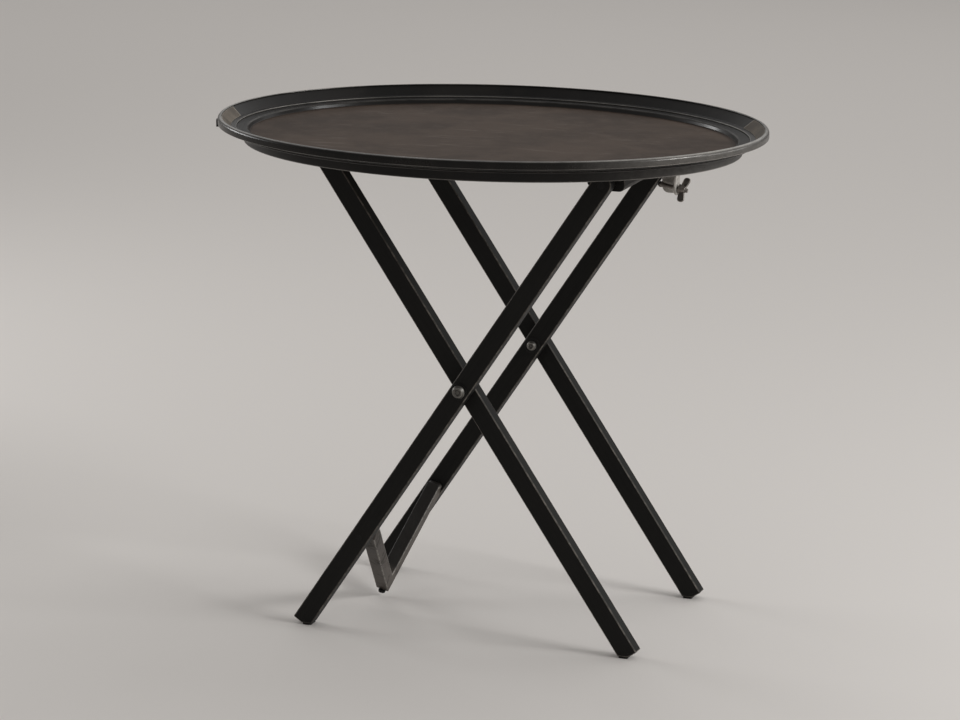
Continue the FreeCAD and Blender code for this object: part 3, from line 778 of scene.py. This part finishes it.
def make_tray():
    """Pan, foot ring, gallery, hoop, end plates and tab."""
    well = floor_inset + 3 * floor_round
    section, worn = rounded([
        (well, floor_top),
        (floor_inset, floor_top),
        (step_inset, ledge_top),
        (ledge_inset, ledge_top),
        (ledge_inset, ledge_top - pan_sheet),
        (step_inset - pan_sheet, ledge_top - pan_sheet),
        (floor_inset - pan_sheet, pan_bottom),
        (well, pan_bottom),
    ], [0, floor_round, step_round, sheet_edge, sheet_edge, step_round, heel_round, 0], closed=False)
    pan = oval_pan(section, worn, pan_rings)
    tray_piece("pressed_pan", pan, floor_finish, "tray_pan", "floor_plate")

    low, high = box("foot_ring")
    outer = half_length - high[0]
    inner = outer + foot_ring_wall
    corners = box_corners(outer, inner, low[2], high[2])
    section, worn = rounded(corners, [foot_ring_edge, foot_ring_edge, metal_edge, metal_edge])
    tray_piece("oval_foot_ring", oval_hoop(section, worn), ring_finish, "foot_ring")

    foot_top = ledge_top + band_sheet
    section, worn = rounded([
        (ledge_inset, ledge_top),
        (gallery_top_inset, gallery_top),
        (gallery_top_inset + band_sheet, gallery_top),
        (flare_inset(foot_top) + band_sheet, foot_top),
        (ledge_inset + band_foot_width, foot_top),
        (ledge_inset + band_foot_width, ledge_top),
    ], [sheet_edge, band_edge, band_edge, band_bend, sheet_edge, metal_edge])
    tray_piece("flared_gallery", oval_hoop(section, worn), rim_finish, "gallery_band")

    section, worn = rounded([
        (0, hoop_bottom),
        (0, rim_top),
        (hoop_lip_width, rim_top),
        (hoop_lip_width, gallery_top),
        (hoop_wall, gallery_top),
        (hoop_wall, hoop_bottom),
    ], [sheet_edge, hoop_crown, hoop_rubbed, metal_edge, metal_edge, sheet_edge])
    # Wear stays on the hoop's top and bottom millimetre; on the top it is partly the lip's painted highlight.
    beside = (section[:, 1] < rim_top - hoop_rubbed) & (section[:, 1] > hoop_bottom + hoop_rubbed)
    worn = np.where(beside, 0, worn)
    tray_piece("rolled_hoop", oval_hoop(section, worn), hoop_finish, "rim_hoop")

    for name, side in (("end_plate_left", -1), ("end_plate_right", 1)):
        low, high = box(name)
        skin = band_sheet + end_plate_gap
        section, worn = rounded([
            (flare_inset(low[2]) + skin, low[2]),
            (flare_inset(high[2]) + skin, high[2]),
            (flare_inset(high[2]) + skin + end_plate_sheet, high[2]),
            (flare_inset(low[2]) + skin + end_plate_sheet, low[2]),
        ], metal_edge)
        strip = oval_strip(section, worn, low[1], high[1])
        strip = Shell(strip.points * [side, 1, 1], strip.faces, strip.worn)
        tray_piece("lining_" + name, strip, plate_finish, name)

    low, high = box("hanging_tab")
    place = np.arctan2(-middle("hanging_tab")[1] / half_width, -middle("hanging_tab")[0] / half_length)
    inward = unit(np.array([half_width * math.cos(place), half_length * math.sin(place), 0]))
    origin = -np.array([half_length * math.cos(place), half_width * math.sin(place), 0])
    outline, worn = rounded([
        (-tab_gap, high[2]),
        (-tab_gap - tab_sheet, high[2]),
        (-tab_gap - tab_sheet, low[2]),
        (tab_toe - tab_gap, low[2]),
        (tab_toe - tab_gap, low[2] + tab_sheet),
        (-tab_gap, low[2] + tab_sheet),
    ], metal_edge)
    strip = slab(outline, worn, -tab_width / 2, tab_width / 2, origin, inward, (0, 0, 1), metal_edge)
    tray_piece("hanging_strip", strip, rim_finish, "hanging_tab")


def make_leg(name, side, body):
    """Bar with a round top, its foot cut square and then level with the floor."""
    low, high = box(name)
    upper = (rod_z - pivot_z) / math.cos(lean)
    trim = foot_flat * math.sin(lean) * math.cos(lean)
    lower = (pivot_z - foot_height + trim - leg_half * math.sin(lean)) / math.cos(lean)
    crown = leg_half * leg_crown_share
    corners = [
        (-leg_half, -lower),
        (leg_half - foot_flat * math.cos(lean), -lower),
        (leg_half, -lower + foot_flat * math.sin(lean)),
        (leg_half, upper + leg_half),
        (-leg_half, upper + leg_half),
    ]
    outline, worn = rounded(corners, [foot_corner, foot_corner, foot_corner, crown, crown], steps=crown_steps)
    # Edges above the pivot get no pale wear or painted highlight.
    worn = np.where(outline[:, 1] > 0, 0, worn)
    outline = outline * [side, 1]
    across = (math.cos(lean), 0, -side * math.sin(lean))
    along = (side * math.sin(lean), 0, math.cos(lean))
    bar = slab(outline, worn, low[1], high[1], (pivot_x, 0, pivot_z), across, along, bar_edge)
    piece("bar_" + name, [bar], leg_finish, body, [name])


def make_pad(name, body):
    """Pad with round corners under a foot."""
    low, high = box(name)
    outline, worn = rounded(box_corners(low[0], high[0], low[1], high[1]), pad_corner)
    pad = slab(outline, worn, -high[2], -low[2], (0, 0, 0), (1, 0, 0), (0, 1, 0), pad_edge)
    piece("pad_" + name, [pad], pad_finish, body, [name])


def make_legs():
    """Four bars, each with the pad under its foot."""
    legs = [
        ("leg_front_inner", "glide_front_right", -1, "fixed_frame"),
        ("leg_rear_outer", "glide_rear_right", -1, "fixed_frame"),
        ("leg_front_outer", "glide_front_left", 1, "cross_frame"),
        ("leg_rear_inner", "glide_rear_left", 1, "cross_frame"),
    ]
    for leg, pad, side, body in legs:
        make_leg(leg, side, body)
        make_pad(pad, body)


def make_batten(name, node, corners, radius, edge):
    """Section in X and Z carried across the table, with the grain that way."""
    low, high = box(node)
    outline, worn = rounded(corners, radius)
    worn = worn * batten_wear_share
    bar = slab(outline, worn, low[1], high[1], (0, 0, 0), (1, 0, 0), (0, 0, 1), edge, "through")
    piece(name, [bar], leg_finish, "tray", [node])


def make_battens():
    """Two cross battens: a plain one for the hinge rod, and one with a saddle that opens inward and down."""
    low, high = box("hinge_batten")
    corners = box_corners(low[0], high[0], low[2], high[2])
    radius = [batten_corner, batten_corner, batten_edge, batten_edge]
    make_batten("bored_batten", "hinge_batten", corners, radius, batten_edge)

    low, high = box("catch_batten")
    inner = 2 * catch_x - high[0]
    seat = rod_radius + rod_seat_gap
    start = np.array([catch_x - seat * math.cos(catch_flank), rod_z + seat * math.sin(catch_flank)])
    toe_z = low[2] + batten_corner * saddle_toe_share
    toe_x = start[0] + (toe_z - start[1]) * math.tan(catch_flank)
    corners = [
        (toe_x, toe_z),
        tuple(start),
        (catch_x + seat, rod_z + seat * saddle_roof_share),
        (catch_x + seat, low[2]),
        (high[0], low[2]),
        (high[0], high[2]),
        (inner, high[2]),
        (inner, toe_z + batten_corner * saddle_cheek_share),
    ]
    radius = [saddle_tip, saddle_edge, seat * saddle_round_share, saddle_edge]
    radius += [batten_corner, batten_edge, batten_edge, saddle_cheek_round]
    make_batten("saddle_batten", "catch_batten", corners, radius, saddle_tip)


def slotted(radius, length, angle):
    """Sinks a straight slot into a round head: a smooth trough across the middle."""
    beside = np.abs(radius * np.sin(angle))
    flank = screw_slot_width * screw_slot_flank_share
    depth = screw_slot_depth * np.clip((screw_slot_width - beside) / flank, 0, 1)
    on_head = length < screw_head_height * screw_slot_floor_share
    return 0 * radius, np.where(on_head, depth, 0)


def make_screws():
    """Round-headed wood screws in rows and rivets, seen from below."""
    head = half_span("catch_batten_screws")
    for node in ("hinge_batten_screws", "catch_batten_screws"):
        low, high = box(node)
        tall = high[2] - low[2]
        radii = np.linspace(0, head, dome_steps)[1:]
        dome = screw_head_height * screw_dome_share * (radii / head) ** 3
        under = [(head, screw_head_height), (screw_radius, screw_head_height)]
        shank = [(screw_radius, tall), (0, tall)]
        section = np.concatenate([[(0, 0)], np.stack([radii, dome], axis=1), under, shank])
        worn = np.where(section[:, 1] < screw_head_height, (section[:, 0] / head) ** 4, 0)
        shells = []
        for x in sorted({low[0] + head, high[0] - head}):
            for y in np.linspace(low[1] + head, high[1] - head, screw_count):
                shells.append(turned(section, worn, (x, y, low[2]), (0, 0, 1), groove=slotted))
        piece("row_" + node, shells, bolt_finish, "tray", [node])

    low, high = box("bracket_rivets")
    head = half_span("bracket_rivets", 1)
    y = middle("bracket_rivets")[1]
    tall = high[2] - low[2]
    shells = []
    for x in (low[0] + head, high[0] - head):
        corners = shaft([head, rivet_radius], [0, rivet_head_height, tall])
        radius = [0, rivet_head_height * rivet_round_share, fine_edge, fine_edge, fine_edge, 0]
        shells.append(turned_corners(corners, radius, (x, y, low[2]), (0, 0, 1)))
    piece("pair_bracket_rivets", shells, bolt_finish, "tray", ["bracket_rivets"])


def make_rods():
    """Hinge rod with a domed rear head, and the plain catch rod."""
    low, high = box("catch_rod")
    corners = shaft([rod_radius], [low[1] - rod_dome, high[1] + rod_dome])
    rod = turned_corners(corners, [0, metal_edge, metal_edge, 0], (catch_x, 0, rod_z), (0, 1, 0))
    piece("plain_catch_rod", [rod], rod_finish, "cross_frame", ["catch_rod"])

    low, high = box("hinge_rod")
    head = half_span("hinge_rod")
    seat = box("leg_rear_outer")[1][1]
    corners = [
        (0, low[1] - rod_dome), (rod_radius, low[1] - rod_dome), (rod_radius, seat), (head, seat),
        (head * rod_head_share, high[1]), (0, high[1]),
    ]
    radius = [0, metal_edge, fine_edge, rod_head_edge, rod_head_round, 0]
    rod = turned_corners(corners, radius, (hinge_x, 0, rod_z), (0, 1, 0))
    piece("headed_hinge_rod", [rod], rod_finish, "fixed_frame", ["hinge_rod"])


def threaded(start):
    """Cuts a vee thread from a length on: a triangle wave along the length that turns with the angle."""
    def groove(radius, length, angle):
        phase = (length - start) / thread_pitch - angle / (2 * math.pi)
        wave = 2 * np.abs(phase - np.floor(phase + 0.5))
        cut = (length > start) & (radius > bolt_radius * thread_core_share)
        return np.where(cut, -thread_depth * wave, 0), 0 * length
    return groove


def nut_shell(low, high):
    """Hexagon nut: the radius is a high-power mean of the distances to six flats, held in by a chamfer."""
    angle = full_turn(nut_segments)
    flats = np.arange(6) * math.pi / 3
    facing = np.clip(np.cos(angle[..., None] - flats - math.pi / 6), 0, 1)
    hexagon = nut_flats / 2 * (facing ** nut_power).sum(axis=-1) ** (-1 / nut_power)
    tall = high - low
    band = np.linspace(0, nut_band, nut_rings)
    rise = np.concatenate([band, np.linspace(1 - nut_band, 1, nut_rings)]) * tall
    chamfer = nut_flats * nut_chamfer_share + np.minimum(rise, tall - rise) * math.sqrt(3)
    outer = np.minimum(hexagon, chamfer[None])
    bore = np.full((len(angle), 1), bolt_radius)
    radius = np.concatenate([bore, outer, bore], axis=1)
    length = np.concatenate([[0], rise, [tall]])[None] + low
    x = pivot_x + radius * np.cos(angle)
    z = pivot_z + radius * np.sin(angle)
    points = np.stack(np.broadcast_arrays(x, length, z), axis=-1)
    return Shell(points, [grid_faces(*radius.shape, close_rows=True, close_columns=True)])


def make_pivot(place, head_share):
    """Bolt with a dished round head that leaves a rim of its black washer bare, and its nut."""
    axle = (pivot_x, 0, pivot_z)
    low, high = box("pivot_bolt_" + place)
    nut_low, nut_high = box("pivot_nut_" + place)
    head = half_span("pivot_bolt_" + place) * head_share
    dish = bolt_dish_radius * head_share
    seat = box("head_washer_" + place)[0][1]
    ring = (head + dish) / 2
    head_section, head_worn = rounded([
        (0, low[1] + bolt_dish_depth),
        (dish - bolt_dish_depth, low[1] + bolt_dish_depth),
        (dish + bolt_dish_depth * bolt_dish_lip_share, low[1]),
        (ring, low[1]),
        (head, seat - bolt_head_rim),
        (head, seat),
        (bolt_radius, seat),
        (bolt_radius, nut_high[1]),
    ], bolt_rounds, closed=False)
    tail = np.linspace(nut_high[1], high[1], tail_steps)[1:]
    tail_section = np.stack([np.full(len(tail), bolt_radius), tail], axis=1)
    tip = [(bolt_radius * bolt_tip_share, high[1]), (0, high[1])]
    section = np.concatenate([head_section, tail_section, tip])
    worn = np.concatenate([head_worn, np.zeros(len(tail) + 2)])
    bolt = turned(section, worn, axle, (0, 1, 0), groove=threaded(nut_high[1]))
    piece("dished_bolt_" + place, [bolt], bolt_finish, "fixed_frame", ["pivot_bolt_" + place])
    for kind, finish in (("head_washer_", rod_finish), ("mid_washer_", bolt_finish)):
        low, high = box(kind + place)
        corners = box_corners(bolt_radius, half_span(kind + place), low[1], high[1])
        washer = turned_corners(corners, (high[1] - low[1]) * washer_round_share, axle, (0, 1, 0))
        piece("flat_" + kind + place, [washer], finish, "fixed_frame", [kind + place])
    nut = nut_shell(nut_low[1], nut_high[1])
    piece("hexagon_nut_" + place, [nut], bolt_finish, "fixed_frame", ["pivot_nut_" + place])


def make_prop():
    """Vee of square bar: each upright slice is a rounded oblong that follows the two arms.

    The slice's middle falls evenly from each pin to the apex. Its top is held under an arch
    about the pins, and its bottom above the level tip. The whole leans about the pins' axis.
    """
    pin = middle("prop_pin_front") * [1, 0, 1]
    front_end = box("prop_arm_front")[0][1]
    rear_end = box("prop_arm_rear")[1][1]
    across = np.array([math.cos(prop_lean), 0, -math.sin(prop_lean)])
    up = np.array([math.sin(prop_lean), 0, math.cos(prop_lean)])
    shares = np.concatenate([[0]] + [np.linspace(*station)[1:] for station in prop_stations])
    y = np.concatenate([front_end * shares[::-1], rear_end * shares[1:]])
    reach = np.where(y < 0, -front_end, rear_end)
    tall = prop_half * np.sqrt(1 + (prop_apex_drop / reach) ** 2)
    oblong, worn = rounded(box_corners(-1, 1, -1, 1), prop_edge / prop_half, steps=prop_steps)
    beside = prop_half * oblong[None, :, 0]
    centre = prop_apex_drop * (np.abs(y) / reach - 1)
    height = centre[:, None] + tall[:, None] * oblong[None, :, 1]
    arch = np.sqrt(np.maximum(prop_half ** 2 - beside ** 2, 0))
    height = np.maximum(np.minimum(height, arch), -prop_tip_drop)
    points = pin + beside[..., None] * across + height[..., None] * up
    points = points + y[:, None, None] * np.array([0, 1, 0])
    grain = np.stack(np.broadcast_arrays(y[:, None], oblong[None, :, 0]), axis=-1)
    vee = tube(points, worn, grain)
    piece("vee_prop", [vee], prop_finish, "prop", ["prop_arm_front", "prop_arm_rear"])

    stud = [
        (0, -prop_stud_drop), (prop_stud_radius * prop_stud_taper, -prop_stud_drop),
        (prop_stud_radius, -prop_tip_drop), (0, -prop_tip_drop),
    ]
    shoe = turned_corners(stud, [0, pad_edge, pad_edge, 0], pin, up)
    piece("prop_stud", [shoe], pad_finish, "prop", ["prop_shoe"])


def make_prop_pins():
    """Shouldered pins that carry the prop on the cross frame."""
    for place, leg in (("front", "leg_front_outer"), ("rear", "leg_rear_inner")):
        low, high = box("prop_pin_" + place)
        leg_low, leg_high = box(leg)
        x, _, z = middle("prop_pin_" + place)
        collar = half_span("prop_pin_" + place)
        if place == "front":
            ends = (low[1] - rod_dome, leg_high[1], box("prop_arm_front")[0][1] - rod_seat_gap, high[1])
        else:
            ends = (low[1], box("prop_arm_rear")[1][1] + rod_seat_gap, leg_low[1], high[1] + rod_dome)
        corners = shaft([prop_pin_radius, collar, prop_pin_radius], ends)
        fine = min(prop_pin_edge, (ends[2] - ends[1]) * prop_pin_round_share)
        pin = turned_corners(corners, [0] + [fine] * 6 + [0], (x, 0, z), (0, 1, 0))
        piece("shouldered_pin_" + place, [pin], rod_finish, "cross_frame", ["prop_pin_" + place])


def bent_strap(corners, bottom, tongue_top, web_top):
    """Upright strap along a bent path, cut lower before the bend than after it.

    The path's points are spread evenly along its length. Each slice is a rounded oblong across
    the path, and quarter circles lift its lower edge at both ends and sink its upper edge at the first.
    """
    path, _ = rounded(corners, bracket_bend, closed=False)
    length = np.concatenate([[0], np.cumsum(np.linalg.norm(np.diff(path, axis=0), axis=1))])
    bend = np.linalg.norm(np.subtract(corners[1], corners[0]))
    before, after = np.linspace(0, bend, strap_steps), np.linspace(bend, length[-1], strap_steps)
    place = np.concatenate([before, after[1:]])
    path = np.stack([np.interp(place, length, path[:, k]) for k in (0, 1)], axis=1)
    along = unit(np.gradient(path, axis=0))
    normal = np.stack([-along[:, 1], along[:, 0]], axis=1)
    toe = bracket_toe_radius
    front = toe - np.sqrt(np.maximum(toe ** 2 - np.maximum(toe - place, 0) ** 2, 0))
    back = toe - np.sqrt(np.maximum(toe ** 2 - np.maximum(toe - length[-1] + place, 0) ** 2, 0))
    low = (bottom + front + back)[:, None]
    high = np.where(place > bend, web_top, tongue_top - front)[:, None]
    half = bracket_sheet / 2
    oblong, worn = rounded(box_corners(-1, 1, -1, 1), metal_edge / half)
    height = np.where(oblong[:, 1] < 0, low + half * (1 + oblong[:, 1]), high - half * (1 - oblong[:, 1]))
    flat = path[:, None] + half * oblong[None, :, :1] * normal[:, None]
    return tube(np.concatenate([flat, height[..., None]], axis=-1), worn)


def make_clamp():
    """Bent bracket under the pan and the wing screw that bears on the leg."""
    low, high = box("clamp_bracket")
    screw_low, screw_high = box("wing_screw")
    ball_x, ball_z = screw_low[0] + clamp_tip_radius, screw_high[2] - clamp_tip_radius
    ball = np.array([ball_x, middle("wing_screw")[1], ball_z])
    axis = np.array([math.cos(clamp_tilt), 0, -math.sin(clamp_tilt)])
    upright = np.array([math.sin(clamp_tilt), 0, math.cos(clamp_tilt)])
    level = np.array([0, 1.0, 0])
    web_y = box("leg_rear_inner")[1][1] + bracket_web_gap + bracket_sheet / 2
    axle = ball[2] - bracket_reach * math.tan(clamp_tilt)
    strap = bent_strap(
        [(high[0] - bracket_sheet / 2, low[1]), (high[0] - bracket_sheet / 2, web_y), (low[0], web_y)],
        low[2], axle + bracket_tongue_rise, high[2] - bracket_sheet / 2,
    )
    corners = box_corners(low[0], high[0], web_y, high[1])
    outline, worn = rounded(corners, [metal_edge, metal_edge, bracket_bend, bracket_bend])
    leaf = slab(outline, worn, -high[2], bracket_sheet - high[2], (0, 0, 0), (1, 0, 0), (0, 1, 0), metal_edge)
    start = bracket_reach - bracket_boss_length
    corners = box_corners(clamp_shank_radius, bracket_boss_radius, start, bracket_reach)
    boss = turned_corners(corners, metal_edge, ball, axis)
    piece("bent_bracket", [leaf, strap, boss], clamp_finish, "tray", ["clamp_bracket"])

    neck = math.sqrt(clamp_tip_radius ** 2 - clamp_shank_radius ** 2)
    turn = np.linspace(0, math.pi - math.asin(clamp_shank_radius / clamp_tip_radius), dome_steps)[1:]
    nose = np.stack([np.sin(turn), -np.cos(turn)], axis=1) * clamp_tip_radius
    shank = np.linspace(neck, clamp_shank_length, shank_steps)[1:]
    section = np.concatenate([
        [(0, -clamp_tip_radius)], nose,
        np.stack([np.full(len(shank), clamp_shank_radius), shank], axis=1), [(0, clamp_shank_length)],
    ])
    screw = turned(section, np.zeros(len(section)), ball, axis, groove=threaded(neck + thread_start))
    piece("ball_tip_screw", [screw], wing_finish, "wing_screw", ["wing_screw"])

    wing_end = wing_start + wing_hub_length
    hub_corners = [
        (clamp_shank_radius, wing_start), (wing_hub_radius, wing_start),
        (wing_hub_tip_radius, wing_end), (clamp_shank_radius, wing_end),
    ]
    hub = turned_corners(hub_corners, wing_hub_edge, ball, axis)
    ear = upright * math.cos(wing_turn) + level * math.sin(wing_turn)
    tip = wing_start + wing_hub_length / 2 + wing_lobe_rake
    far = wing_lobe_reach + wing_lobe_radius
    ears = []
    for side in (-1, 1):
        corners = [
            (wing_start + wing_root_inset, 0), (wing_end - wing_root_inset, 0),
            (tip + wing_lobe_radius, side * far), (tip - wing_lobe_radius, side * far),
        ]
        lobe = wing_lobe_radius * wing_round_share
        outline, worn = rounded(corners, [metal_edge, metal_edge, lobe, lobe], steps=ear_steps)
        half, edge = wing_sheet / 2, wing_sheet * wing_edge_share
        ears.append(slab(outline, worn * 0, -half, half, ball, axis, ear, edge))
    piece("winged_head", [hub] + ears, wing_finish, "wing_screw", ["wing_head"])


# Stage: a plain pale floor, soft lamps and the camera
floor_size = 60.0
floor_tone = tone(0.70, 0.672, 0.645)
world_tone = tone(0.62, 0.60, 0.58)
world_strength = 0.42
lamp_aim = Vector((0, 0, 0.5))
lamps = [
    ("overhead", (0.0, 4.0, 5.0), (12.0, 8.0), 195.0),
    ("right_high", (3.0, -0.3, 2.1), (1.2, 0.6), 50.0),
    ("right_low", (2.8, 1.1, 1.0), (2.0, 0.6), 14.0),
    ("left_low", (-2.8, 0.5, 1.2), (1.2, 0.5), 18.0),
]


def make_stage():
    """Floor, even surrounding light and lamps that face the table."""
    mesh = bpy.data.meshes.new("studio_floor")
    half = floor_size / 2
    corners = [(x, y, 0) for x, y in box_corners(-half, half, -half, half)]
    mesh.from_pydata(corners, [], [(0, 1, 2, 3)])
    finish = Finish("studio_floor", Specular_IOR_Level=0.2, Roughness=0.8)
    mesh.materials.append(finish.shade(Base_Color=floor_tone))
    floor = put("studio_floor", mesh)

    world = bpy.data.worlds.new("studio")
    world.use_nodes = True
    background = world.node_tree.nodes["Background"]
    background.inputs["Color"].default_value = world_tone
    background.inputs["Strength"].default_value = world_strength
    bpy.context.scene.world = world

    for name, place, size, power in lamps:
        light = bpy.data.lights.new(name, "AREA")
        light.shape = "RECTANGLE"
        light.size, light.size_y = size
        light.energy = power
        lamp = put(name, light)
        lamp.location = place
        lamp.rotation_euler = (lamp_aim - Vector(place)).to_track_quat("-Z", "Y").to_euler()


def make_camera():
    """Camera on a circle round the aim point, as far and as high as the photograph's view."""
    flat = math.cos(camera_elevation)
    outward = np.array([
        math.sin(camera_azimuth) * flat, -math.cos(camera_azimuth) * flat, math.sin(camera_elevation),
    ])
    lens = bpy.data.cameras.new("photo_view")
    lens.sensor_width = sensor_width
    lens.lens = focal_pixels / photo_width * sensor_width
    lens.clip_end = floor_size
    camera = put("photo_view", lens)
    camera.location = camera_aim + outward * camera_distance
    camera.rotation_euler = Vector(-outward).to_track_quat("-Z", "Y").to_euler()
    bpy.context.scene.camera = camera


make_tray()
make_legs()
make_battens()
make_screws()
make_rods()
for side, share in bolt_head_shares.items():
    make_pivot(side, share)
make_prop()
make_prop_pins()
make_clamp()
make_stage()
make_camera()
bpy.context.scene.view_settings.view_transform = "Standard"
